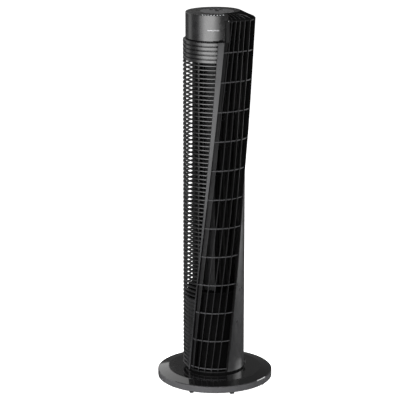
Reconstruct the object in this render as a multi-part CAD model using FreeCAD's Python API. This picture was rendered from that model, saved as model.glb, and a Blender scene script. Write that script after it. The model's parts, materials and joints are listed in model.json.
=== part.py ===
"""Tower fan: slanted slatted side, wrapped outlet of stacked ribs, cross-flow impeller, round base.

Millimetres, +Z up, origin at the centre of the base where the feet touch the floor.
Angles in plan are measured from the front (-Y) towards +X.
"""
import FreeCAD
import Part
import math
import os

V = FreeCAD.Vector
UP = V(0, 0, 1)
ORIGIN = V(0, 0, 0)

# base
BASE_R = 160.5
BASE_UNDER = 7.9          # underside of the base plate, the feet fill the space below
BASE_EDGE_TOP = 27.0      # top of the outer rim
BASE_RING_R = 131.0       # where the sloping outer ring meets the inner dome
BASE_TOP = 34.0           # flat the tower stands on
PLATE_T = 3.0
FOOT_COUNT = 8
FOOT_ANGLE = 36.0
BASE_BOSS_R = 138.0
BASE_LEDGE_R = 122.0       # the deck plate rests on the rim from here outwards

# tower levels
FOOT_R = 81.0
FOOT_TOP = 39.0           # top of the tower's foot plate
BAY_TOP = 266.0           # underside of the motor deck
DECK_T = 4.0
DUCT_TOP = 912.0          # underside of the bearing deck
SKIRT_TOP = 968.0
HEAD_BOTTOM = 971.0
SHELL_TOP = 1024.0        # top of the side shells and the back shell
HEAD_TOP = 1040.4
BUTTON_TOP = 1041.0

# radii
CORE_R = 82.0             # smooth back shell
CORE_WALL = 2.5
HEAD_R = 81.5
HEAD_WALL = 2.5
HEAD_EDGE = 2.0
INNER_R = 76.4            # decks, just inside the ribs' bars and the slats

# outlet ribs
RIB_R = 89.0
RIB_ROOT_R = 80.3
RIB_PITCH = 11.56
RIB_TOP_Z = 963.0
RIB_TOTAL = 80
RIB_CLOSED = 5            # the upper ones are closed rings of the skirt
SKIRT_BOTTOM = RIB_TOP_Z - RIB_PITCH * (RIB_CLOSED - 1) - 4.6
BAR_R0 = 78.9
BAR_R1 = 81.1
BACK_R0 = 78.5            # closed wall behind the lowest ribs
BACK_R1 = 81.5
BAR_ANGLE = 28.0
BACKED_TOP = 244.0        # the ribs below this stand on a closed wall

# near edge of the outlet: far round at the top, close to the front at the bottom
EDGE_LOW_Z = 60.0
EDGE_HIGH_Z = 921.0
EDGE_LOW = 8.8
EDGE_HIGH = 64.6
EDGE_BULGE = 4.3
EDGE_HEAD = 81.0          # beside the head

# far side: straight up and down
LEFT_EDGE = 76.0
LEFT_STRIP = 3.5
LEFT_SLAT = 90.0
LEFT_PITCH = 10.5
LEFT_REAR = 146.0
LEFT_BARS = (-72.0, -28.0)

# side shells
SLATS = 5
SLAT_LOW_Z = 70.6
SLAT_LOW = 19.7
SLAT_SLOPE = 0.0815       # degrees per mm of height
SLAT_PITCH = 12.6
SLAT_PINCH = 4.6          # loss of pitch at the top
SLAT_PINCH_Z = 650.0
TRIM_R = 89.3
TRIM_T = 1.6
SLAT_T = 1.9
SLAT_DEPTH = 9.0
SLAT_BEND = 4.2
SLAT_BEND_Z = 470.0
REAR_GAP = 16.8           # from the last slat to the rear wall
SHELL_R = 85.5            # round section of the lower part
SHELL_W = 86.0            # flat side of the top section
SHELL_B = 90.0            # flat back of the top section
SHELL_CORNER = 35.0
SHELL_FRONT_R = 88.5
BLEND_LOW_Z = 592.0
BLEND_HIGH_Z = 1028.0
TIE_TOP_Z = 939.9
TIE_PITCH = 80.9
TIE_COUNT = 12
TIE_T = 3.0

# duct and impeller
THROAT_X = 33.0
THROAT_Y = 54.0
DUCT_T = 2.5
FAN_R = 46.0
FAN_Z0 = 284.0
FAN_Z1 = 905.0
FAN_BLADES = 24
FAN_BLADE_IN = 36.5
FAN_BLADE_T = 1.4
FAN_STAGES = 8
FAN_DISC_T = 2.5
SHAFT_R = 4.0
PIN_R = 3.0
RUN_FIT = 0.05

# motor
MOTOR_R = 38.0
MOTOR_WALL = 1.5
MOTOR_Z0 = 200.0
MOTOR_Z1 = 256.0
LEG_R = 45.0

# controls, on a round panel let into the top of the head
PANEL_R = 46.0
PANEL_Y = 4.0
PANEL_T = 1.6
PAD_X = -15.8
PAD_Y = 12.9
PAD_R = 17.0
POWER_R = 7.0
KEY_R = 5.0
KEY_CLEAR = 0.4
KEY_TRAVEL = 1.2
LIGHTS = 8
LIGHT_R = 1.7
LIGHT_RING = 76.9
LIGHT_FIRST = 35.4
LIGHT_STEP = 6.0
BADGE_ANGLE = 58.0


def polar(r, deg, z=0.0):
    a = math.radians(deg)
    return V(r * math.sin(a), -r * math.cos(a), z)


def tube(r_out, r_in, z0, z1, at=ORIGIN):
    foot = V(at.x, at.y, z0)
    body = Part.makeCylinder(r_out, z1 - z0, foot)
    if r_in > 0:
        body = body.cut(Part.makeCylinder(r_in, z1 - z0, foot))
    return body


def prism(points, z0, z1):
    loop = [V(p.x, p.y, z0) for p in points]
    face = Part.Face(Part.makePolygon(loop + [loop[0]]))
    return face.extrude(V(0, 0, z1 - z0))


def loft(sections):
    wires = [Part.makePolygon(s + [s[0]]) for s in sections]
    return Part.makeLoft(wires, True, True)


def revolve(profile, start=0.0, sweep=360.0):
    """Turn an (r, z) outline about Z, from one plan angle through a sweep."""
    loop = [V(r, 0, z) for r, z in profile]
    face = Part.Face(Part.makePolygon(loop + [loop[0]]))
    face.rotate(ORIGIN, UP, start - 90.0)
    return face.revolve(ORIGIN, UP, sweep)


def fuse(shapes):
    body = shapes[0].multiFuse(shapes[1:]) if len(shapes) > 1 else shapes[0]
    return body.removeSplitter()


def levels(z0, z1, count):
    return [z0 + (z1 - z0) * i / (count - 1) for i in range(count)]


def ease(t):
    t = min(1.0, max(0.0, t))
    return t * t * (3 - 2 * t)


def edge_angle(z):
    s = (z - EDGE_LOW_Z) / (EDGE_HIGH_Z - EDGE_LOW_Z)
    return EDGE_LOW + (EDGE_HIGH - EDGE_LOW) * s + EDGE_BULGE * 4 * s * (1 - s)


def slat_pinch(z):
    return max(0.0, (z - SLAT_PINCH_Z) / (SHELL_TOP - SLAT_PINCH_Z)) ** 1.5


def slat_bend(z):
    """The slats lean back less over the upper part."""
    return SLAT_BEND * ease((z - SLAT_BEND_Z) / 350.0)


def slat_angle(z, index, straight=False):
    if straight:
        return LEFT_SLAT + LEFT_PITCH * index
    pitch = SLAT_PITCH - SLAT_PINCH * slat_pinch(z)
    return SLAT_LOW + SLAT_SLOPE * (z - SLAT_LOW_Z) + index * pitch - slat_bend(z)


def rear_angle(z, straight=False):
    if straight:
        return LEFT_REAR
    return slat_angle(z, SLATS - 1) + REAR_GAP - 3.0 * slat_pinch(z) + slat_bend(z)


def strip_angle(z):
    s = max(0.0, (z - 280.0) / 690.0)
    return 0.8 + 10.5 * s ** 1.1


def top_radius(deg):
    """Radius of the flat-sided section the side shells have at the top."""
    a = math.radians(deg)
    sn = math.sin(a)
    back = -math.cos(a)
    if deg <= 90.0:
        return min(SHELL_W / sn, SHELL_FRONT_R)
    cx = SHELL_W - SHELL_CORNER
    cy = SHELL_B - SHELL_CORNER
    side = SHELL_W / sn if sn > 1e-6 else 1e9
    if side * back <= cy:
        return side
    rear = SHELL_B / back
    if rear * sn <= cx:
        return rear
    mid = cx * sn + cy * back
    return mid + math.sqrt(mid * mid - cx * cx - cy * cy + SHELL_CORNER ** 2)


def shell_radius(deg, z):
    w = (z - BLEND_LOW_Z) / (BLEND_HIGH_Z - BLEND_LOW_Z)
    w = min(1.0, max(0.0, w))
    return w * top_radius(deg) + (1 - w) * SHELL_R


def base_feet():
    feet = []
    for i in range(FOOT_COUNT):
        at = polar(146.0, FOOT_ANGLE + 360.0 * i / FOOT_COUNT)
        pad = Part.makeCone(6.0, 7.5, BASE_UNDER, at)
        feet.append(pad)
    return Part.makeCompound(feet)


def boss_points():
    return [polar(BASE_BOSS_R, 30.0 + 60.0 * i) for i in range(6)]


def base_plate():
    plate = tube(BASE_R - 3.4, 30.0, BASE_UNDER, BASE_UNDER + PLATE_T)
    for p in boss_points():
        plate = plate.cut(Part.makeCylinder(2.2, PLATE_T, V(p.x, p.y, BASE_UNDER)))
    return plate


def base_rim():
    """Outer ring of the base: wall, sloping top, and the ledge that carries the deck plate."""
    seat = BASE_EDGE_TOP + 2.6
    outer = [(BASE_R - 1.0, BASE_UNDER), (BASE_R, BASE_UNDER + 1.0), (BASE_R, BASE_EDGE_TOP - 1.6),
             (BASE_R - 1.6, BASE_EDGE_TOP), (BASE_RING_R + 0.2, BASE_EDGE_TOP + 5.6), (BASE_RING_R + 0.2, seat),
             (BASE_LEDGE_R, seat), (BASE_LEDGE_R, seat - 3.0)]
    inner = [(BASE_RING_R, seat - 3.0), (BASE_R - 4.5, BASE_EDGE_TOP - 3.5), (BASE_R - 3.0, BASE_EDGE_TOP - 5.5),
             (BASE_R - 3.0, BASE_UNDER)]
    bosses = [tube(5.0, 0, BASE_UNDER + PLATE_T, BASE_EDGE_TOP - 0.5, p) for p in boss_points()]
    ring = fuse([revolve(outer + inner)] + bosses)
    for p in boss_points():
        ring = ring.cut(Part.makeCylinder(1.7, 12.0, V(p.x, p.y, BASE_UNDER)))
    return ring


def base_deck():
    """Round plate let into the rim; the tower stands on its flat middle."""
    seat = BASE_EDGE_TOP + 2.6
    profile = [(0, seat), (BASE_RING_R - 0.1, seat), (BASE_RING_R - 0.1, BASE_EDGE_TOP + 5.6),
               (BASE_RING_R - 1.5, BASE_EDGE_TOP + 6.0), (88.0, BASE_TOP), (0, BASE_TOP)]
    plate = revolve(profile)
    for p in foot_screw_points():
        plate = plate.cut(Part.makeCylinder(2.1, 8.0, V(p.x, p.y, BASE_TOP - 6.0)))
    return plate


def base_screws():
    screws = []
    for p in boss_points():
        head = Part.makeCylinder(4.2, 2.2, V(p.x, p.y, BASE_UNDER - 2.2))
        shank = Part.makeCylinder(1.7, 11.0, V(p.x, p.y, BASE_UNDER))
        screws.append(head.fuse(shank))
    return Part.makeCompound(screws)


def foot_screw_points():
    return [polar(56.0, 45.0 + 90.0 * i) for i in range(4)]


def tower_foot():
    plate = tube(FOOT_R, 0, BASE_TOP, FOOT_TOP)
    for p in foot_screw_points():
        plate = plate.cut(Part.makeCylinder(2.1, 8.0, V(p.x, p.y, BASE_TOP - 1.0)))
    return plate


def foot_screws():
    screws = []
    for p in foot_screw_points():
        head = Part.makeCylinder(4.5, 3.0, V(p.x, p.y, FOOT_TOP))
        shank = Part.makeCylinder(2.0, 8.6, V(p.x, p.y, FOOT_TOP - 8.6))
        screws.append(head.fuse(shank))
    return Part.makeCompound(screws)


GLAND_ANGLE = 148.0
GLAND_Z = 46.5
GLAND_R = 4.6


def radial_cylinder(r, r0, r1, deg, z):
    out = polar(1.0, deg)
    return Part.makeCylinder(r, r1 - r0, polar(r0, deg, z), out)


def back_shell():
    ring = tube(CORE_R, CORE_R - CORE_WALL, FOOT_TOP, SHELL_TOP)
    keep = []
    for z in levels(FOOT_TOP - 1.0, SHELL_TOP + 1.0, 14):
        a = rear_angle(z) + 2.3
        b = 360.0 - (LEFT_REAR + 2.3)
        section = [V(0, 0, z)]
        for t in (0.0, 0.25, 0.5, 0.75, 1.0):
            section.append(polar(200.0, a + t * (b - a), z))
        keep.append(section)
    shell = ring.common(loft(keep))
    return shell.cut(radial_cylinder(GLAND_R, 70.0, 90.0, GLAND_ANGLE, GLAND_Z))


def cord_gland():
    body = radial_cylinder(GLAND_R, 74.0, 84.0, GLAND_ANGLE, GLAND_Z)
    lip = radial_cylinder(GLAND_R + 1.4, 82.6, 87.0, GLAND_ANGLE, GLAND_Z)
    bore = radial_cylinder(2.8, 70.0, 90.0, GLAND_ANGLE, GLAND_Z)
    return body.fuse(lip).cut(bore)


def strip_corners(z, straight=False):
    """Plan angles of the trim's two edges, and of the first slat."""
    if straight:
        return LEFT_EDGE, LEFT_EDGE + LEFT_STRIP, LEFT_SLAT
    a = edge_angle(z)
    return a, a + strip_angle(z), slat_angle(z, 0)


def recess_radius(deg, z):
    return max(INNER_R + 0.2, shell_radius(deg, z) - 11.2)


def front_frame(straight):
    """Upright under the trim, with the recessed wall that runs back to the first slat."""
    sections = []
    for z in levels(FOOT_TOP, SKIRT_TOP, 13):
        a, b, end = strip_corners(z, straight)
        end += 0.5
        sections.append([polar(TRIM_R - TRIM_T, a, z), polar(shell_radius(b, z) + 1.2 - TRIM_T, b, z),
                         polar(recess_radius(b, z) + 1.8, b, z), polar(recess_radius(end, z) + 1.8, end, z),
                         polar(recess_radius(end, z), end, z), polar(recess_radius(b, z), b, z),
                         polar(recess_radius(a, z), a, z)])
    return loft(sections)


def head_frame():
    """Narrow upright beside the head."""
    sections = []
    for z in levels(SKIRT_TOP, SHELL_TOP, 3):
        sections.append([polar(SHELL_FRONT_R - 0.6, EDGE_HEAD, z), polar(shell_radius(88.0, z), 88.0, z),
                         polar(82.4, 88.0, z), polar(82.4, EDGE_HEAD, z)])
    return loft(sections)


def side_trim(straight):
    """Tapering trim strip along the edge of the outlet."""
    sections = []
    for z in levels(FOOT_TOP, SKIRT_TOP, 13):
        a, b, end = strip_corners(z, straight)
        r = shell_radius(b, z) + 1.2
        sections.append([polar(TRIM_R, a, z), polar(r, b, z), polar(r - TRIM_T, b, z), polar(TRIM_R - TRIM_T, a, z)])
    return loft(sections)


def slat(index, straight):
    sections = []
    for z in levels(FOOT_TOP, SHELL_TOP, 14):
        a = slat_angle(z, index, straight)
        r = shell_radius(a, z)
        half = math.degrees(SLAT_T / 2 / r)
        back = math.degrees(SLAT_T / 2 / (r - SLAT_DEPTH))
        sections.append([polar(r + 0.2, a - half, z), polar(r + 0.2, a + half, z),
                         polar(r - SLAT_DEPTH, a + back, z), polar(r - SLAT_DEPTH, a - back, z)])
    return loft(sections)


def rear_wall(straight):
    sections = []
    for z in levels(FOOT_TOP, SHELL_TOP, 14):
        a = rear_angle(z, straight)
        b = a + 2.0
        r = shell_radius(a, z)
        sections.append([polar(r + 0.2, a, z), polar(r, b, z), polar(78.0, b, z), polar(78.0, a, z)])
    return loft(sections)


def tie_ring(z, start, depth, straight):
    stop = rear_angle(z, straight) + 0.8
    angles = levels(start, stop, 12)
    outer = [polar(shell_radius(a, z) - 2.6, a) for a in angles]
    inner = [polar(shell_radius(a, z) - depth, a) for a in reversed(angles)]
    return prism(outer + inner, z - TIE_T / 2, z + TIE_T / 2)


def side_frame(straight):
    """One side moulding: front upright with its recessed wall, and the rear wall."""
    tie = tie_ring(SHELL_TOP - TIE_T / 2, 89.5, SLAT_DEPTH - 0.6, straight)
    heel = tie_ring(FOOT_TOP + TIE_T / 2, strip_corners(FOOT_TOP, straight)[0] + 2.5, SLAT_DEPTH, straight)
    link = prism([polar(82.4, 86.5), polar(86.0, 86.5), polar(86.0, 91.0), polar(82.4, 91.0)],
                 SHELL_TOP - TIE_T, SHELL_TOP)
    return fuse([front_frame(straight), head_frame(), rear_wall(straight), tie, heel, link])


def side_grille(frame, straight):
    """Five slats on their tie rings, set into the frame."""
    parts = [slat(i, straight) for i in range(SLATS)]
    for i in range(TIE_COUNT):
        z = TIE_TOP_Z - TIE_PITCH * i
        parts.append(tie_ring(z, strip_corners(z, straight)[1] - 0.5, SLAT_DEPTH - 3.0, straight))
    return fuse(parts).cut(frame)


def rib_z(index):
    return RIB_TOP_Z - RIB_PITCH * index


def outlet_grille():
    parts = []
    for i in range(RIB_CLOSED, RIB_TOTAL):
        z = rib_z(i)
        sweep = edge_angle(z) + LEFT_EDGE - 1.0
        profile = [(RIB_ROOT_R, z - 1.2), (RIB_R - 1.5, z - 1.7), (RIB_R, z - 0.9),
                   (RIB_R, z + 0.9), (RIB_R - 1.5, z + 1.7), (RIB_ROOT_R, z + 1.2)]
        parts.append(revolve(profile, 0.5 - LEFT_EDGE, sweep))
    sections = []
    for z in (FOOT_TOP, 100.0, 160.0, 220.0, 270.0, 310.0, 340.0, SKIRT_BOTTOM):
        a = min(BAR_ANGLE, edge_angle(z) - 1.9)
        sections.append([polar(BAR_R0, a - 1.2, z), polar(BAR_R1, a - 1.2, z),
                         polar(BAR_R1, a + 1.2, z), polar(BAR_R0, a + 1.2, z)])
    parts.append(loft(sections))
    for a in LEFT_BARS:
        corners = [polar(BAR_R0, a - 1.2), polar(BAR_R1, a - 1.2), polar(BAR_R1, a + 1.2), polar(BAR_R0, a + 1.2)]
        parts.append(prism(corners, FOOT_TOP, SKIRT_BOTTOM))
    wall = tube(BACK_R1, BACK_R0, FOOT_TOP, BACKED_TOP)
    keep = []
    for z in levels(FOOT_TOP - 1.0, BACKED_TOP + 1.0, 6):
        far = LEFT_EDGE - 1.0
        keep.append([V(0, 0, z), polar(200.0, -far, z), polar(200.0, -far / 2, z), polar(200.0, edge_angle(z) - 1.0, z)])
    parts.append(wall.common(loft(keep)))
    return fuse(parts)


def outlet_skirt():
    parts = []
    for i in range(RIB_CLOSED):
        z = rib_z(i)
        sweep = edge_angle(z) + LEFT_EDGE - 1.2
        profile = [(82.0, z - 4.6), (86.8, z - 4.6), (88.4, z - 3.4),
                   (88.4, z + 3.4), (86.8, z + 4.6), (82.0, z + 4.6)]
        parts.append(revolve(profile, 0.6 - LEFT_EDGE, sweep))
    sweep = edge_angle(rib_z(RIB_CLOSED - 1)) + LEFT_EDGE - 2.0
    z0 = SKIRT_BOTTOM
    parts.append(revolve([(79.6, z0), (82.6, z0), (82.6, SKIRT_TOP), (79.6, SKIRT_TOP)], 1.0 - LEFT_EDGE, sweep))
    return fuse(parts)


def back_tab(z0, z1):
    return revolve([(INNER_R - 2, z0), (CORE_R - CORE_WALL, z0), (CORE_R - CORE_WALL, z1), (INNER_R - 2, z1)],
                   165.0, 30.0)


def motor_deck():
    z1 = BAY_TOP + DECK_T
    plate = fuse([tube(INNER_R, 10.0, BAY_TOP, z1), back_tab(BAY_TOP, z1)])
    return plate


def bearing_deck():
    z1 = DUCT_TOP + DECK_T
    return fuse([tube(INNER_R, 11.0, DUCT_TOP, z1), back_tab(DUCT_TOP, z1)])


def head_deck():
    front = revolve([(50.0, SKIRT_TOP), (80.9, SKIRT_TOP), (80.9, HEAD_BOTTOM), (50.0, HEAD_BOTTOM)], -66.0, 132.0)
    plate = tube(INNER_R, 24.0, SKIRT_TOP, HEAD_BOTTOM)
    column = tube(24.0 + DUCT_T, 24.0, DUCT_TOP + DECK_T, SKIRT_TOP + 1.0)
    return fuse([plate, front, back_tab(SKIRT_TOP, HEAD_BOTTOM), column])


def motor_bay_wall():
    return tube(70.0, 67.5, FOOT_TOP, BAY_TOP)


def curved_wall(path, z0, z1):
    """Upright wall of even thickness along a plan path."""
    left = []
    right = []
    for i, p in enumerate(path):
        before = path[max(0, i - 1)]
        after = path[min(len(path) - 1, i + 1)]
        along = after.sub(before)
        along.normalize()
        side = V(-along.y, along.x, 0).multiply(DUCT_T / 2)
        left.append(p.add(side))
        right.append(p.sub(side))
    return prism(left + list(reversed(right)), z0, z1)


def scroll_wall():
    path = [V(-THROAT_X, -THROAT_Y, 0), V(-29.0, -47.5, 0)]
    for i in range(15):
        t = i / 14.0
        path.append(polar(50.5 + 13.0 * t, -36.0 - 134.0 * t))
    return curved_wall(path, BAY_TOP + DECK_T, DUCT_TOP)


def stabiliser_wall():
    path = [V(THROAT_X, -THROAT_Y, 0), V(29.0, -47.5, 0)]
    for i in range(5):
        path.append(polar(50.5 + 2.0 * i / 4.0, 36.0 + 6.5 * i))
    return curved_wall(path, BAY_TOP + DECK_T, DUCT_TOP)


def blade(deg):
    pts = []
    for r, lead in ((FAN_BLADE_IN, 0.0), ((FAN_BLADE_IN + FAN_R - 1) / 2, 3.0), (FAN_R - 1.0, 9.0)):
        pts.append(polar(r, deg + lead))
    mid_out = []
    for r, lead in ((FAN_R - 1.0, 9.0), ((FAN_BLADE_IN + FAN_R - 1) / 2, 3.0), (FAN_BLADE_IN, 0.0)):
        mid_out.append(polar(r, deg + lead + math.degrees(FAN_BLADE_T / r)))
    return prism(pts + mid_out, FAN_Z0 + 1.0, FAN_Z1 - 1.0)


def impeller_cage():
    parts = []
    for i in range(FAN_STAGES + 1):
        z = FAN_Z0 + (FAN_Z1 - FAN_Z0 - FAN_DISC_T) * i / FAN_STAGES
        if i in (0, FAN_STAGES):
            parts.append(tube(FAN_R, 0, z, z + FAN_DISC_T))
        else:
            parts.append(tube(FAN_R, FAN_BLADE_IN - 3.0, z, z + FAN_DISC_T))
    parts += [blade(360.0 * i / FAN_BLADES) for i in range(FAN_BLADES)]
    parts.append(tube(9.0, 0, FAN_Z0, FAN_Z0 + 18.0))
    parts.append(tube(8.0, 0, FAN_Z1 - 14.0, FAN_Z1))
    cage = fuse(parts)
    cage = cage.cut(tube(SHAFT_R, 0, FAN_Z0, FAN_Z0 + 16.0))
    return cage.cut(tube(PIN_R, 0, FAN_Z1 - 12.0, FAN_Z1))


def drive_shaft():
    return tube(SHAFT_R, 0, MOTOR_Z0 - 6.0, FAN_Z0 + 16.0)


def top_pin():
    return tube(PIN_R, 0, FAN_Z1 - 12.0, DUCT_TOP + 9.0)


def top_bearing():
    return tube(7.0, PIN_R + RUN_FIT, DUCT_TOP - 1.0, DUCT_TOP + 6.0)


def bearing_cushion():
    return tube(11.0, 7.0, DUCT_TOP - 1.0, DUCT_TOP + 5.0)


def motor_housing():
    can = tube(MOTOR_R, MOTOR_R - MOTOR_WALL, MOTOR_Z0, MOTOR_Z1)
    low = tube(MOTOR_R, SHAFT_R + 1.0, MOTOR_Z0, MOTOR_Z0 + 2.0)
    high = tube(MOTOR_R, SHAFT_R + 1.0, MOTOR_Z1 - 2.0, MOTOR_Z1)
    return fuse([can, low, high])


def motor_bearings():
    low = tube(9.0, SHAFT_R + RUN_FIT, MOTOR_Z0 + 2.0, MOTOR_Z0 + 9.0)
    high = tube(9.0, SHAFT_R + RUN_FIT, MOTOR_Z1 - 9.0, MOTOR_Z1 - 2.0)
    return Part.makeCompound([low, high])


def motor_stator():
    ring = tube(MOTOR_R - MOTOR_WALL, 24.0, MOTOR_Z0 + 13.0, MOTOR_Z1 - 13.0)
    for i in range(12):
        slot = Part.makeCylinder(2.4, 40.0, polar(29.5, 30.0 * i, MOTOR_Z0 + 10.0))
        ring = ring.cut(slot)
    return ring


def motor_rotor():
    return tube(23.4, SHAFT_R, MOTOR_Z0 + 14.0, MOTOR_Z1 - 14.0)


def leg_points():
    return [polar(LEG_R, 90.0 * i) for i in range(4)]


def motor_bracket():
    parts = [tube(50.0, 12.0, MOTOR_Z1, MOTOR_Z1 + 2.0)]
    for p in leg_points():
        parts.append(tube(4.0, 0, MOTOR_Z1 + 1.0, BAY_TOP, p))
    plate = fuse(parts)
    for p in leg_points():
        plate = plate.cut(Part.makeCylinder(1.7, BAY_TOP - MOTOR_Z1, V(p.x, p.y, MOTOR_Z1)))
    return plate


def motor_screws():
    screws = []
    for p in leg_points():
        head = Part.makeCylinder(3.4, 2.4, V(p.x, p.y, MOTOR_Z1 - 2.4))
        shank = Part.makeCylinder(1.7, BAY_TOP - MOTOR_Z1 - 1.0, V(p.x, p.y, MOTOR_Z1))
        screws.append(head.fuse(shank))
    return Part.makeCompound(screws)


CAP_X = 50.0              # inner rim of the shoulder cap
CAP_Y = 73.0
CAP_LEFT = 81.0
CAP_FRONT = -4.0          # the cap starts here, behind the head


def smooth_ring(radius, z):
    """Closed smooth outline from a plan radius given per angle."""
    pts = [polar(radius(a), a, z) for a in range(0, 360, 6)]
    curve = Part.BSplineCurve()
    curve.interpolate(Points=pts, PeriodicFlag=True)
    return Part.Wire(curve.toShape())


def cap_outline(shift):
    return lambda a: top_radius(max(min(a, 360.0 - a), 45.0)) - shift


def rim_outline(shift):
    """Inner rim of the shoulder: deep over the right side shell, close to the head's radius on the left."""
    def radius(a):
        t = math.radians(min(a, 180.0))
        near = 1.0 / math.hypot(math.sin(t) / CAP_X, math.cos(t) / CAP_Y)
        far = ease((a - 165.0) / 60.0) + 1.0 - ease((a - 10.0) / 55.0)
        return near + (CAP_LEFT - near) * min(1.0, far) - shift
    return radius


def shoulder_ring(f):
    """Outline of the shoulder a fraction of the way in to the rim; its section is a low convex curve."""
    out = cap_outline(0)
    rim = rim_outline(0)
    rise = 0.5 * (f + math.sqrt(1 - (1 - f) ** 2))
    z = SHELL_TOP + 3.0 + (HEAD_TOP - SHELL_TOP - 3.0) * rise
    return smooth_ring(lambda a: out(a) + (rim(a) - out(a)) * f, z)


def shoulder_cap():
    """Sloping shoulder over the side shells, wrapped round the back of the head."""
    side = Part.makeLoft([smooth_ring(cap_outline(0), SHELL_TOP), smooth_ring(cap_outline(0), SHELL_TOP + 3.0)],
                         True, True)
    slope = Part.makeLoft([shoulder_ring(f) for f in (0.0, 0.08, 0.2, 0.4, 0.65, 1.0)], True, True)
    inside = Part.makeLoft([smooth_ring(cap_outline(3.0), SHELL_TOP), smooth_ring(cap_outline(3.0), SHELL_TOP + 1.0)],
                           True, True)
    under = Part.makeLoft([smooth_ring(cap_outline(3.0), SHELL_TOP + 1.0), smooth_ring(rim_outline(3.0), HEAD_TOP - 3.0)],
                          True, True)
    body = side.fuse(slope).cut(inside.fuse(under))
    bore = Part.makeLoft([smooth_ring(rim_outline(0), SHELL_TOP), smooth_ring(rim_outline(0), HEAD_TOP + 1.0)],
                         True, True)
    front = Part.makeBox(300.0, 300.0, 40.0, V(-150.0, CAP_FRONT - 300.0, SHELL_TOP - 5.0))
    return body.cut(bore).cut(front)


def key_points():
    angles = (200.0, 255.0, 310.0, 60.0)
    return [V(PAD_X, PAD_Y, 0).add(polar(PAD_R, a)) for a in angles]


def light_points():
    return [polar(LIGHT_RING, LIGHT_FIRST + LIGHT_STEP * i) for i in range(LIGHTS)]


PLATE_UNDER = HEAD_TOP - 4.0


def post_points():
    return [V(30.0, 24.0, 0), V(30.0, -16.0, 0), V(-36.0, -10.0, 0), V(-4.0, 41.0, 0)]


def head_shell():
    half = CAP_FRONT - 0.3
    drum = tube(HEAD_R, 0, HEAD_BOTTOM, HEAD_TOP)
    behind = Part.makeBox(300.0, 300.0, 100.0, V(-150.0, half, HEAD_BOTTOM - 5.0))
    tail = Part.makeLoft([smooth_ring(rim_outline(0.3), HEAD_TOP - 9.0), smooth_ring(rim_outline(0.3), HEAD_TOP)],
                         True, True)
    hollow = tube(HEAD_R - HEAD_WALL, 0, HEAD_BOTTOM, PLATE_UNDER)
    hollow = hollow.cut(Part.makeBox(300.0, 300.0, 100.0, V(-150.0, half - HEAD_WALL, HEAD_BOTTOM - 5.0)))
    hollow_tail = Part.makeLoft([smooth_ring(rim_outline(2.8), HEAD_BOTTOM), smooth_ring(rim_outline(2.8), PLATE_UNDER)],
                                True, True)
    rim = [e for e in drum.Edges if abs(e.BoundBox.ZMin - HEAD_TOP) < 1e-6 and e.BoundBox.ZLength < 1e-6]
    drum = drum.makeFillet(HEAD_EDGE, rim)
    body = drum.cut(behind).fuse(tail).cut(hollow.fuse(hollow_tail))
    body = body.cut(Part.makeCylinder(PANEL_R + 0.15, PANEL_T, V(0, PANEL_Y, HEAD_TOP - PANEL_T)))
    posts = [tube(3.0, 0, PLATE_UNDER - 8.8, PLATE_UNDER + 1.0, p) for p in post_points()]
    body = body.multiFuse(posts)
    cuts = [Part.makeCylinder(POWER_R + KEY_CLEAR, 6.0, V(PAD_X, PAD_Y, PLATE_UNDER - 1.0))]
    cuts += [Part.makeCylinder(KEY_R + KEY_CLEAR, 6.0, V(p.x, p.y, PLATE_UNDER - 1.0)) for p in key_points()]
    cuts += [Part.makeCylinder(LIGHT_R, 6.0, V(p.x, p.y, PLATE_UNDER - 1.0)) for p in light_points()]
    return body.cut(Part.makeCompound(cuts))


def top_panel():
    plate = Part.makeCylinder(PANEL_R, PANEL_T, V(0, PANEL_Y, HEAD_TOP - PANEL_T))
    plate = plate.cut(Part.makeCylinder(POWER_R + KEY_CLEAR, 6.0, V(PAD_X, PAD_Y, PLATE_UNDER)))
    for p in key_points():
        plate = plate.cut(Part.makeCylinder(KEY_R + KEY_CLEAR, 6.0, V(p.x, p.y, PLATE_UNDER)))
    return plate


def key(p, r):
    """Push button: round cap with a flange that stops under the head's top plate."""
    cap = Part.makeCylinder(r, BUTTON_TOP - PLATE_UNDER + 1.5, V(p.x, p.y, PLATE_UNDER - 1.5))
    edges = [e for e in cap.Edges if abs(e.BoundBox.ZMin - BUTTON_TOP) < 1e-6 and e.BoundBox.ZLength < 1e-6]
    cap = cap.makeFillet(0.5, edges[:1])
    flange = Part.makeCylinder(r + 1.2, 1.4, V(p.x, p.y, PLATE_UNDER - 1.5))
    return cap.fuse(flange).removeSplitter()


SWITCH_TOP = PLATE_UNDER - 1.5 - KEY_TRAVEL - 0.1
BOARD_TOP = PLATE_UNDER - 8.8


def control_board():
    board = Part.makeCylinder(41.0, 1.6, V(0, PANEL_Y, BOARD_TOP - 1.6))
    return board


def switches():
    blocks = []
    for p in [V(PAD_X, PAD_Y, 0)] + key_points():
        blocks.append(Part.makeBox(6.0, 6.0, SWITCH_TOP - BOARD_TOP, V(p.x - 3.0, p.y - 3.0, BOARD_TOP)))
    return Part.makeCompound(blocks)


def lights():
    pips = []
    for p in light_points():
        pips.append(Part.makeCylinder(LIGHT_R, HEAD_TOP - PLATE_UNDER + 0.3, V(p.x, p.y, PLATE_UNDER)))
    return Part.makeCompound(pips)


def badge():
    return revolve([(HEAD_R, 998.5), (HEAD_R + 0.5, 998.8), (HEAD_R + 0.5, 1001.6), (HEAD_R, 1001.9)],
                   BADGE_ANGLE - 11.0, 22.0)


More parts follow.
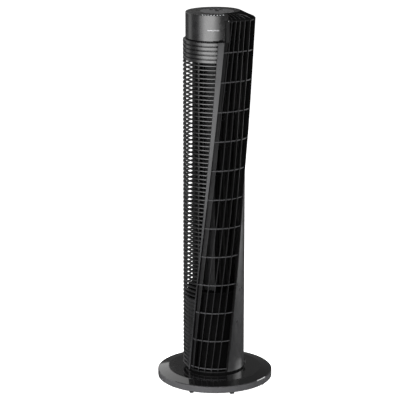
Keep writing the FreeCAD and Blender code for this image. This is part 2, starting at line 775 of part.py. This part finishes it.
def build():
    frame = side_frame(False)
    left_frame = side_frame(True)
    mirror = V(1, 0, 0)
    keys = key_points()
    nodes = {
        "base_plate": base_plate(),
        "base_rim": base_rim(),
        "base_deck": base_deck(),
        "base_feet": base_feet(),
        "base_screws": base_screws(),
        "tower_foot": tower_foot(),
        "foot_screws": foot_screws(),
        "back_shell": back_shell(),
        "cord_gland": cord_gland(),
        "side_frame_right": frame,
        "side_frame_left": left_frame.mirror(ORIGIN, mirror),
        "side_grille_right": side_grille(frame, False),
        "side_grille_left": side_grille(left_frame, True).mirror(ORIGIN, mirror),
        "side_trim_right": side_trim(False),
        "side_trim_left": side_trim(True).mirror(ORIGIN, mirror),
        "outlet_grille": outlet_grille(),
        "outlet_skirt": outlet_skirt(),
        "motor_bay_wall": motor_bay_wall(),
        "motor_deck": motor_deck(),
        "bearing_deck": bearing_deck(),
        "head_deck": head_deck(),
        "scroll_wall": scroll_wall(),
        "stabiliser_wall": stabiliser_wall(),
        "impeller_cage": impeller_cage(),
        "drive_shaft": drive_shaft(),
        "top_pin": top_pin(),
        "top_bearing": top_bearing(),
        "bearing_cushion": bearing_cushion(),
        "motor_housing": motor_housing(),
        "motor_bearings": motor_bearings(),
        "motor_stator": motor_stator(),
        "motor_rotor": motor_rotor(),
        "motor_bracket": motor_bracket(),
        "motor_screws": motor_screws(),
        "shoulder_cap": shoulder_cap(),
        "head_shell": head_shell(),
        "top_panel": top_panel(),
        "control_board": control_board(),
        "key_switches": switches(),
        "indicator_lights": lights(),
        "head_badge": badge(),
        "button_power": key(V(PAD_X, PAD_Y, 0), POWER_R),
    }
    for i, p in enumerate(keys):
        nodes["button_%d" % (i + 1)] = key(p, KEY_R)
    return nodes


os.makedirs("parts", exist_ok=True)
for name, shape in build().items():
    if not shape.isValid():
        print("not valid:", name)
    print(name, len(shape.Solids), round(shape.Volume / 1000.0, 2), "cm3")
    shape.exportStep("parts/" + name + ".step")
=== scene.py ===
import json
import math
import bpy
import bmesh
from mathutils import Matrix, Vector
from mathutils.bvhtree import BVHTree


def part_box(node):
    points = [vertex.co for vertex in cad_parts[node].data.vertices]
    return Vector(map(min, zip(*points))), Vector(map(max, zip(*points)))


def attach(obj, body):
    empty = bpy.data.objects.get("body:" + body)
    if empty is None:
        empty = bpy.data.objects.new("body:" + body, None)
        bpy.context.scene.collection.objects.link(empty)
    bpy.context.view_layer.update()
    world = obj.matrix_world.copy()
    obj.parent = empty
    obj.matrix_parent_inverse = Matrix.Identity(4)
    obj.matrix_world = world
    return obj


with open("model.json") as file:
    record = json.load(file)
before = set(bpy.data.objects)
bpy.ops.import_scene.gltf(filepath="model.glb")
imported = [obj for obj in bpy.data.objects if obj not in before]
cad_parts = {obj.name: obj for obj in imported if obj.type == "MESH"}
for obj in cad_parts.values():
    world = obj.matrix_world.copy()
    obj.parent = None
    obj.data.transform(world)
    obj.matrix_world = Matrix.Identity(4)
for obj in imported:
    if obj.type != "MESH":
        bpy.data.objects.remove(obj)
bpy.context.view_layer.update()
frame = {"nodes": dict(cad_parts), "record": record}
nodes = frame["nodes"]

# ---------------------------------------------------------------- helpers


def polar(r, deg, z):
    """Plan angle is measured from the front (-Y) towards +X."""
    a = math.radians(deg)
    return Vector((r * math.sin(a), -r * math.cos(a), z))


class Graph:
    """Small helper that wires up a Principled material."""

    def __init__(self, name):
        self.mat = bpy.data.materials.new(name)
        self.mat.use_nodes = True
        self.tree = self.mat.node_tree
        self.bsdf = self.tree.nodes["Principled BSDF"]
        place = self.add("ShaderNodeTexCoord")
        self.coord = place.outputs["Object"]
        self.facing = place.outputs["Normal"]

    def add(self, kind, **values):
        n = self.tree.nodes.new(kind)
        for k, v in values.items():
            setattr(n, k, v)
        return n

    def link(self, a, b):
        self.tree.links.new(a, b)

    def stretch(self, scale):
        m = self.add("ShaderNodeMapping")
        m.inputs["Scale"].default_value = scale
        self.link(self.coord, m.inputs["Vector"])
        return m.outputs["Vector"]

    def noise(self, scale, detail=3.0, rough=0.55, vector=None):
        n = self.add("ShaderNodeTexNoise")
        n.inputs["Scale"].default_value = scale
        n.inputs["Detail"].default_value = detail
        n.inputs["Roughness"].default_value = rough
        self.link(vector or self.coord, n.inputs["Vector"])
        return n.outputs["Fac"]

    def remap(self, fac, lo, hi, start=0.3, stop=0.7):
        n = self.add("ShaderNodeMapRange")
        n.inputs["From Min"].default_value = start
        n.inputs["From Max"].default_value = stop
        n.inputs["To Min"].default_value = lo
        n.inputs["To Max"].default_value = hi
        self.link(fac, n.inputs["Value"])
        return n.outputs["Result"]

    def ramp(self, fac, stops):
        n = self.add("ShaderNodeValToRGB")
        els = n.color_ramp.elements
        els[0].position, els[0].color = stops[0][0], stops[0][1] + (1,)
        els[1].position, els[1].color = stops[-1][0], stops[-1][1] + (1,)
        for pos, col in stops[1:-1]:
            e = els.new(pos)
            e.color = col + (1,)
        self.link(fac, n.inputs["Fac"])
        return n.outputs["Color"]

    def bump(self, height, distance, strength=1.0, after=None):
        n = self.add("ShaderNodeBump")
        n.inputs["Distance"].default_value = distance
        n.inputs["Strength"].default_value = strength
        self.link(height, n.inputs["Height"])
        if after is not None:
            self.link(after, n.inputs["Normal"])
        return n.outputs["Normal"]

    def vector(self, kind, a, b=None):
        n = self.add("ShaderNodeVectorMath", operation=kind)
        for k, v in enumerate((a, b)):
            if isinstance(v, bpy.types.NodeSocket):
                self.link(v, n.inputs[k])
            elif v is not None:
                n.inputs[k].default_value = v
        return n

    def outward(self, least):
        """1 where the surface faces away from the tower's axis by more than least, 0 elsewhere."""
        flat = self.vector("MULTIPLY", self.coord, (1.0, 1.0, 0.0)).outputs[0]
        radial = self.vector("NORMALIZE", flat).outputs[0]
        dot = self.vector("DOT_PRODUCT", radial, self.facing).outputs["Value"]
        return self.remap(dot, 0.0, 1.0, least - 0.12, least + 0.12)

    def level_gap(self, first, pitch):
        """Distance in height to the nearest of evenly spaced levels."""
        split = self.add("ShaderNodeSeparateXYZ")
        self.link(self.coord, split.inputs[0])
        down = self.add("ShaderNodeMath", operation="SUBTRACT")
        self.link(split.outputs["Z"], down.inputs[0])
        down.inputs[1].default_value = first
        fold = self.add("ShaderNodeMath", operation="PINGPONG")
        self.link(down.outputs[0], fold.inputs[0])
        fold.inputs[1].default_value = pitch / 2
        return fold.outputs[0]

    def times(self, color, factor):
        n = self.vector("SCALE", color)
        self.link(factor, n.inputs["Scale"])
        return n.outputs[0]

    def between(self, factor, a, b):
        n = self.add("ShaderNodeMix")
        self.link(factor, n.inputs[0])
        n.inputs[2].default_value = a
        self.link(b, n.inputs[3])
        return n.outputs[0]

    def set(self, **values):
        names = {"rough": "Roughness", "metal": "Metallic", "spec": "Specular IOR Level",
                 "coat": "Coat Weight", "coat_rough": "Coat Roughness", "color": "Base Color",
                 "normal": "Normal", "emit": "Emission Color", "glow": "Emission Strength"}
        for k, v in values.items():
            socket = self.bsdf.inputs[names[k]]
            if isinstance(v, bpy.types.NodeSocket):
                self.link(v, socket)
            elif isinstance(v, tuple) and len(v) == 3:
                socket.default_value = v + (1,)
            else:
                socket.default_value = v
        return self.mat


MOTTLE = 14.0                      # scale of the tone drift in a moulding
PATCHES = (0.82, 1.2)              # darkest and lightest tone of the drift
PATCH_BLUE = (1.03, 1.05)          # blue in the darkest and lightest tone
GLOSS_DRIFT = (0.85, 1.15)
RAW_ROUGH = 0.95                   # roughness of the dull inner faces
BAND_EDGE = 0.0003


def moulded(name, shade, rough, grain=900.0, depth=0.00004, spec=0.5, coat=0.0, coat_rough=0.1,
            least=None, painted_light=1.0, painted_shade=0.15, highlight_bands=None):
    """Moulded plastic: fine spark-eroded grain, slow tone drift and uneven gloss.

    With least, faces turned away from the outside get painted shade (colour times the shade factor) and,
    at the default light factor, a dull finish; a light factor above 1 paints light on the outward faces.
    Level bands (first height, pitch, half width, factor), such as the tie rings, are lightened as a
    painted highlight."""
    g = Graph(name)
    drift = g.noise(MOTTLE, 4.0)
    c0, c1 = [tuple(tone * c for c in (shade, shade, shade * blue))
              for tone, blue in zip(PATCHES, PATCH_BLUE)]
    fine = g.noise(grain, 2.0, 0.7)
    wave = g.noise(MOTTLE * 2.4, 2.0)
    n1 = g.bump(fine, depth)
    n2 = g.bump(wave, depth * 6, 0.5, n1)
    color = g.ramp(drift, [(0.3, c0), (0.7, c1)])
    polish = g.remap(g.noise(MOTTLE * 3.0, 3.0), rough * GLOSS_DRIFT[0], rough * GLOSS_DRIFT[1])
    # painted shade on faces turned away from the outside, painted light on faces turned outward
    if least is not None:
        painted_light_side = g.outward(least)
        color = g.times(color, g.remap(painted_light_side, painted_shade, painted_light, 0.0, 1.0))
        if painted_light == 1.0:
            polish = g.between(painted_light_side, RAW_ROUGH, polish)
    # painted highlight on evenly spaced level bands
    if highlight_bands is not None:
        first, pitch, half, factor = highlight_bands
        color = g.times(color, g.remap(g.level_gap(first, pitch), factor, 1.0, half, half + BAND_EDGE))
    return g.set(color=color, rough=polish, normal=n2, spec=spec, coat=coat, coat_rough=coat_rough)


def metal(name, color, rough, along=(400.0, 400.0, 8.0)):
    """Turned or rolled metal with fine directional lines."""
    g = Graph(name)
    lines = g.noise(1.0, 4.0, 0.6, g.stretch(along))
    tone = g.noise(40.0, 3.0)
    c0 = tuple(c * 0.8 for c in color)
    c1 = tuple(min(1.0, c * 1.15) for c in color)
    return g.set(color=g.ramp(tone, [(0.3, c0), (0.7, c1)]), metal=1.0,
                 rough=g.remap(lines, rough * 0.7, rough * 1.4), normal=g.bump(lines, 0.00003, 0.5))


def lens(name):
    """Milky indicator lens, lit from below."""
    g = Graph(name)
    cloud = g.noise(260.0, 2.0)
    milk = g.ramp(cloud, [(0.3, (0.66, 0.68, 0.7)), (0.7, (0.8, 0.82, 0.84))])
    return g.set(color=milk, rough=g.remap(cloud, 0.25, 0.4),
                 emit=(0.9, 0.95, 1.0), glow=0.75, normal=g.bump(cloud, 0.00001))


TIE_RING_HIGHLIGHT = (0.9399, 0.0809, 0.0016, 3.0)     # top ring's height, pitch, half width, how much lighter: a painted highlight on the tie rings

mats = {
    "base_black": moulded("base_black", 0.006, 0.45),
    # painted light: the base's faces turned outward are made 14 times lighter than its other faces
    "base_gloss": moulded("base_gloss", 0.004, 0.1, grain=300.0, depth=0.000004, coat=0.5, coat_rough=0.04,
                          least=0.75, painted_light=14.0, painted_shade=1.0),
    "foot_rubber": moulded("foot_rubber", 0.008, 0.8, grain=700.0, depth=0.00008, spec=0.3),
    "screw_steel": metal("screw_steel", (0.45, 0.45, 0.47), 0.35),
    "inner_black": moulded("inner_black", 0.0012, 0.75, spec=0.03),
    # painted shade on the back shell's faces turned inward
    "back_satin": moulded("back_satin", 0.016, 0.32, grain=1100.0, depth=0.00002, spec=0.5, least=-0.3),
    "gland_rubber": moulded("gland_rubber", 0.006, 0.55, grain=600.0, depth=0.00006, spec=0.4),
    # painted shade on the slats' faces turned away from the outside, and a painted highlight on the tie
    # rings
    "shell_satin": moulded("shell_satin", 0.011, 0.45, grain=1000.0, depth=0.00002, spec=0.07,
                           least=0.6, painted_shade=0.02, highlight_bands=TIE_RING_HIGHLIGHT),
    # painted shade on the frame's faces turned away from the outside
    "frame_matte": moulded("frame_matte", 0.006, 0.55, grain=900.0, depth=0.00003, spec=0.1,
                           least=0.2, painted_shade=0.1),
    "trim_gloss": moulded("trim_gloss", 0.024, 0.32, grain=900.0, depth=0.000008, spec=0.5),
    "rib_satin": moulded("rib_satin", 0.010, 0.3, grain=1000.0, depth=0.00002),
    # painted shade on the head's faces turned inward
    "head_gloss": moulded("head_gloss", 0.006, 0.27, grain=260.0, depth=0.000003, least=-0.3),
    "duct_grey": moulded("duct_grey", 0.006, 0.6, depth=0.00005, spec=0.1),
    "fan_black": moulded("fan_black", 0.001, 0.7, depth=0.00005, spec=0.05),
    "shaft_steel": metal("shaft_steel", (0.55, 0.55, 0.57), 0.22, (8.0, 8.0, 900.0)),
    "bearing_brass": metal("bearing_brass", (0.6, 0.42, 0.2), 0.4, (300.0, 300.0, 300.0)),
    "motor_paint": moulded("motor_paint", 0.06, 0.4, grain=500.0, depth=0.00006),
    "iron_core": metal("iron_core", (0.2, 0.2, 0.21), 0.5, (6.0, 6.0, 1600.0)),
    "rotor_alu": metal("rotor_alu", (0.6, 0.6, 0.62), 0.35),
    "bracket_steel": metal("bracket_steel", (0.45, 0.45, 0.47), 0.4),
    "cap_satin": moulded("cap_satin", 0.003, 0.5, grain=1000.0, depth=0.00003, spec=0.01),
    # painted reflection: the head's top panel is made light grey so that it reads as lit from above
    "panel_gloss": moulded("panel_gloss", 0.14, 0.3, grain=260.0, depth=0.000003),
    "board_green": moulded("board_green", 0.03, 0.35),
    "switch_black": moulded("switch_black", 0.006, 0.5),
    "light_lens": lens("light_lens"),
    "badge_grey": moulded("badge_grey", 0.14, 0.3, depth=0.00001),
    "key_black": moulded("key_black", 0.004, 0.4, depth=0.00001, spec=0.1),
}

slot_of = {s["node"]: s["material_slot"] for s in frame["record"]["subparts"]}
for name, obj in nodes.items():
    obj.data.materials.clear()
    obj.data.materials.append(mats[slot_of[name]])

# ---------------------------------------------------------------- detail pieces


def piece(name, bm, material, body="tower", smooth=True):
    bmesh.ops.recalc_face_normals(bm, faces=bm.faces)
    mesh = bpy.data.meshes.new(name)
    bm.to_mesh(mesh)
    bm.free()
    mesh.materials.append(mats[material])
    for f in mesh.polygons:
        f.use_smooth = smooth
    obj = bpy.data.objects.new(name, mesh)
    bpy.context.scene.collection.objects.link(obj)
    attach(obj, body)
    return obj


def sweep(bm, path, across, painted_light, width, height):
    """Closed half-round strip along a path. across and lift give its sideways and outward directions."""
    steps = 7
    rings = []
    last = len(path) - 1
    for k, p in enumerate(path):
        end = min(1.0, 3.0 * min(k, last - k) / last + 0.25)
        ring = []
        for j in range(steps):
            t = math.pi * j / (steps - 1)
            ring.append(bm.verts.new(p + across[k] * (math.cos(t) * width / 2 * end)
                                     + painted_light[k] * (math.sin(t) * height * end)))
        for side in (-1, 1):
            ring.append(bm.verts.new(p + across[k] * (side * width / 2 * end) - painted_light[k] * height * 0.4))
        rings.append(ring)
    n = steps + 2
    for a, b in zip(rings, rings[1:]):
        for j in range(n):
            bm.faces.new((a[j], a[(j + 1) % n], b[(j + 1) % n], b[j]))
    bm.faces.new(rings[0])
    bm.faces.new(rings[-1])


def cap_surface():
    """Height and normal of the shoulder's top surface under a plan point."""
    mesh = nodes["shoulder_cap"].data
    corners = [v.co.copy() for v in mesh.vertices]
    tree = BVHTree.FromPolygons(corners, [tuple(f.vertices) for f in mesh.polygons])

    def probe(point):
        hit, normal, _, _ = tree.ray_cast(Vector((point.x, point.y, RAY_TOP)), Vector((0, 0, -1)))
        return hit, normal
    return probe


RAY_TOP = 1.1                      # above the whole fan
SEARCH_STEP = 0.0005
SEARCH_LIMIT = 0.12
# angle of the first slat at the top, and the pitch
SLAT_TOPS = {"right": (93.2, 8.0), "left": (90.0, 10.5)}
SLATS = 5
TIP_REACH = 0.80                   # how far up the shoulder a tip runs
TIP_STEPS = 12
TIP_INSET = 0.0004                 # from the shoulder's outer edge
TIP_WIDTH = 0.0021
TIP_HEIGHT = 0.0009

probe = cap_surface()


def slat_tip(bm, deg):
    """Raised strip that carries one slat's line over the shoulder."""
    outward = polar(1.0, deg, 0)
    inner = 0.0
    while probe(outward * (inner + SEARCH_STEP))[0] is None and inner < SEARCH_LIMIT:
        inner += SEARCH_STEP
    outer = inner
    while probe(outward * (outer + SEARCH_STEP))[0] is not None:
        outer += SEARCH_STEP
    path, across, painted_light = [], [], []
    for k in range(TIP_STEPS + 1):
        hit, normal = probe(outward * (outer - TIP_INSET - (outer - inner) * TIP_REACH * k / TIP_STEPS))
        if hit is None:
            continue
        if normal.z < 0:
            normal = -normal
        path.append(hit)
        painted_light.append(normal)
        across.append(normal.cross(outward).normalized())
    sweep(bm, path, across, painted_light, TIP_WIDTH, TIP_HEIGHT)


for side, sign in (("right", 1.0), ("left", -1.0)):
    bm = bmesh.new()
    first, pitch = SLAT_TOPS[side]
    for i in range(SLATS):
        slat_tip(bm, (first + pitch * i) * sign)
    piece("slat_tips_" + side, bm, "rib_satin")


def curved_block(bm, r0, r1, start, stop, z0, z1, steps=24):
    """Block bent round the tower's axis between two plan angles."""
    rings = []
    for j in range(steps + 1):
        a = start + (stop - start) * j / steps
        rings.append([bm.verts.new(polar(r, a, z)) for r, z in ((r0, z0), (r1, z0), (r1, z1), (r0, z1))])
    for a, b in zip(rings, rings[1:]):
        for j in range(4):
            bm.faces.new((a[j], a[(j + 1) % 4], b[(j + 1) % 4], b[j]))
    bm.faces.new(rings[0])
    bm.faces.new(rings[-1])


SHADOW_GAP_R = 0.0805                   # just inside the head's wall
# outer radius, start and stop angle, bottom and top of the dark blocks that paint the shadow in the gap
# under the head: a thin slot and the notch at its end
SHADOW_GAP_PARTS = ((0.0819, 57.0, 71.0, 0.9712, 0.9722), (0.0820, 68.5, 76.5, 0.9698, 0.9740))
bm = bmesh.new()
for block in SHADOW_GAP_PARTS:
    curved_block(bm, SHADOW_GAP_R, *block)
piece("head_shadow_gap", bm, "inner_black", smooth=False)


def flat_shape(bm, outline, z, thick=0.00008):
    low = [bm.verts.new((x, y, z - thick)) for x, y in outline]
    top = [bm.verts.new((x, y, z)) for x, y in outline]
    bm.faces.new(low)
    bm.faces.new(top)
    for j in range(len(outline)):
        k = (j + 1) % len(outline)
        bm.faces.new((low[j], low[k], top[k], top[j]))


def arc_band(bm, cx, cy, r0, r1, start, stop, z, steps=40):
    """Flat ring segment: out along the larger radius and back along the smaller one."""
    pts = []
    for r, a0, a1 in ((r1, start, stop), (r0, stop, start)):
        for j in range(steps + 1):
            a = math.radians(a0 + (a1 - a0) * j / steps)
            pts.append((cx + r * math.cos(a), cy + r * math.sin(a)))
    flat_shape(bm, pts, z)


def bar(bm, cx, cy, dx, dy, half, wide, z):
    """Straight mark centred on a point, along a direction."""
    n = math.hypot(dx, dy)
    dx, dy = dx / n, dy / n
    pts = [(cx + dx * a * half - dy * b * wide, cy + dy * a * half + dx * b * wide)
           for a, b in ((-1, -1), (1, -1), (1, 1), (-1, 1))]
    flat_shape(bm, pts, z)


PRINT = 0.00004                    # how far a mark stands above its button
# arcs: inner and outer radius, start and stop angle
# bars: centre, direction, half length, half width, measured from the middle of the button
SYMBOLS = {
    "button_power": ([(0.0031, 0.0037, -60.0, 240.0)], [(0.0, -0.0026, 0.0, 1.0, 0.0016, 0.0003)]),
    "button_1": ([], [((k - 1) * 0.0013, 0.0, 0.0, 1.0, 0.0007 + 0.0006 * k, 0.0003) for k in range(3)]),
    "button_2": ([(0.0021, 0.0026, 0.0, 352.0)],
                 [(0.0, 0.0007, 0.0, 1.0, 0.0009, 0.00022), (0.0006, 0.0, 1.0, 0.0, 0.0007, 0.00022)]),
    "button_3": ([(0.0021, 0.0026, 20.0, 160.0)],
                 [(s * 0.0022, 0.0003, s * 0.4, 1.0, 0.0008, 0.00025) for s in (-1, 1)]),
    "button_4": ([], [(0.0, (k - 1) * 0.0014, 1.0, 0.0, 0.0018, 0.00028) for k in range(3)]),
}
for name, (arcs, bars) in SYMBOLS.items():
    lo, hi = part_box(name)
    cx, cy = (lo[0] + hi[0]) / 2, (lo[1] + hi[1]) / 2
    top = hi[2] + PRINT
    bm = bmesh.new()
    for r0, r1, start, stop in arcs:
        arc_band(bm, cx, cy, r0, r1, start, stop, top)
    for x, y, dx, dy, half, wide in bars:
        bar(bm, cx + x, cy + y, dx, dy, half, wide, top)
    piece(name + "_mark", bm, "badge_grey", name, smooth=False)

# ---------------------------------------------------------------- studio


def area(name, at, look, size, power):
    """Rectangular light of a width and height in metres, aimed at a height on the tower's axis."""
    data = bpy.data.lights.new(name, "AREA")
    data.shape = "RECTANGLE"
    data.size, data.size_y = size
    data.energy = power
    obj = bpy.data.objects.new(name, data)
    obj.location = at
    obj.rotation_euler = (Vector((0, 0, look)) - at).to_track_quat("-Z", "Y").to_euler()
    obj.visible_camera = False
    bpy.context.scene.collection.objects.link(obj)


VIEW = 62.0                        # plan angle the camera stands at
KEY = VIEW - 24.0
WORLD_GLOW = 0.09
world = bpy.data.worlds.new("studio")
bpy.context.scene.world = world
world.use_nodes = True
world.node_tree.nodes["Background"].inputs["Color"].default_value = (1, 1, 1, 1)
world.node_tree.nodes["Background"].inputs["Strength"].default_value = WORLD_GLOW

area("key_wide", polar(1.95, KEY, 1.1), look=1.1, size=(3.1, 2.6), power=88.0)
area("key_core", polar(1.85, KEY, 1.1), look=1.1, size=(1.5, 2.6), power=60.0)
area("side", polar(2.2, VIEW + 105.0, 0.8), look=0.8, size=(1.6, 1.8), power=62.0)
area("left", polar(2.4, VIEW - 112.0, 1.0), look=1.0, size=(0.9, 2.4), power=8.0)
area("rear_left", polar(3.0, VIEW - 150.0, 2.0), look=1.0, size=(3.0, 2.4), power=19.0)
area("rim", polar(1.6, VIEW + 48.0, 0.3), look=0.1, size=(1.2, 0.5), power=6.0)

PAPER = (0.9, 0.9, 0.9)
PAPER_ROUGH = 0.9
PAPER_GLOW = 1.1


def stage_mesh(name, verts, faces):
    """White paper that only the camera sees, so that it neither lights nor shades the fan."""
    mesh = bpy.data.meshes.new(name)
    mesh.from_pydata(verts, [], faces)
    obj = bpy.data.objects.new(name, mesh)
    bpy.context.scene.collection.objects.link(obj)
    g = Graph(name + "_paper")
    tone = g.ramp(g.noise(3.0), [(0.3, tuple(c * 0.97 for c in PAPER)), (0.7, PAPER)])
    mesh.materials.append(g.set(color=tone, rough=PAPER_ROUGH, emit=(1, 1, 1), glow=PAPER_GLOW))
    obj.visible_diffuse = False
    obj.visible_glossy = False
    obj.visible_transmission = False
    obj.visible_shadow = False


FLOOR = 8                          # half the floor's width
corners = [(-FLOOR, -FLOOR, 0), (FLOOR, -FLOOR, 0), (FLOOR, FLOOR, 0), (-FLOOR, FLOOR, 0)]
stage_mesh("floor", corners, [(0, 1, 2, 3)])

WALL_R = 9.0
WALL_SIDES = 48
WALL_LOW = -0.5
WALL_HIGH = 9.0
wall_v = []
wall_f = []
for i in range(WALL_SIDES):
    a = 360.0 * i / WALL_SIDES
    wall_v += [polar(WALL_R, a, WALL_LOW), polar(WALL_R, a, WALL_HIGH)]
    j = (i + 1) % WALL_SIDES
    wall_f.append((2 * i, 2 * j, 2 * j + 1, 2 * i + 1))
stage_mesh("surround", wall_v, wall_f)

LENS = 164.6
CAMERA_R = 4.8945
CAMERA_HEIGHT = 1.7732
AIM_SIDE = -0.0418                 # the camera aims this far to the right of the axis
AIM_HEIGHT = 0.5152
cam_data = bpy.data.cameras.new("camera")
cam_data.lens = LENS
cam_data.clip_end = 50.0
camera = bpy.data.objects.new("camera", cam_data)
right = Vector((math.cos(math.radians(VIEW)), math.sin(math.radians(VIEW)), 0))
camera.location = polar(CAMERA_R, VIEW, CAMERA_HEIGHT)
target = right * AIM_SIDE + Vector((0, 0, AIM_HEIGHT))
camera.rotation_euler = (target - camera.location).to_track_quat("-Z", "Y").to_euler()
bpy.context.scene.collection.objects.link(camera)
bpy.context.scene.camera = camera
bpy.context.scene.view_settings.view_transform = "Standard"
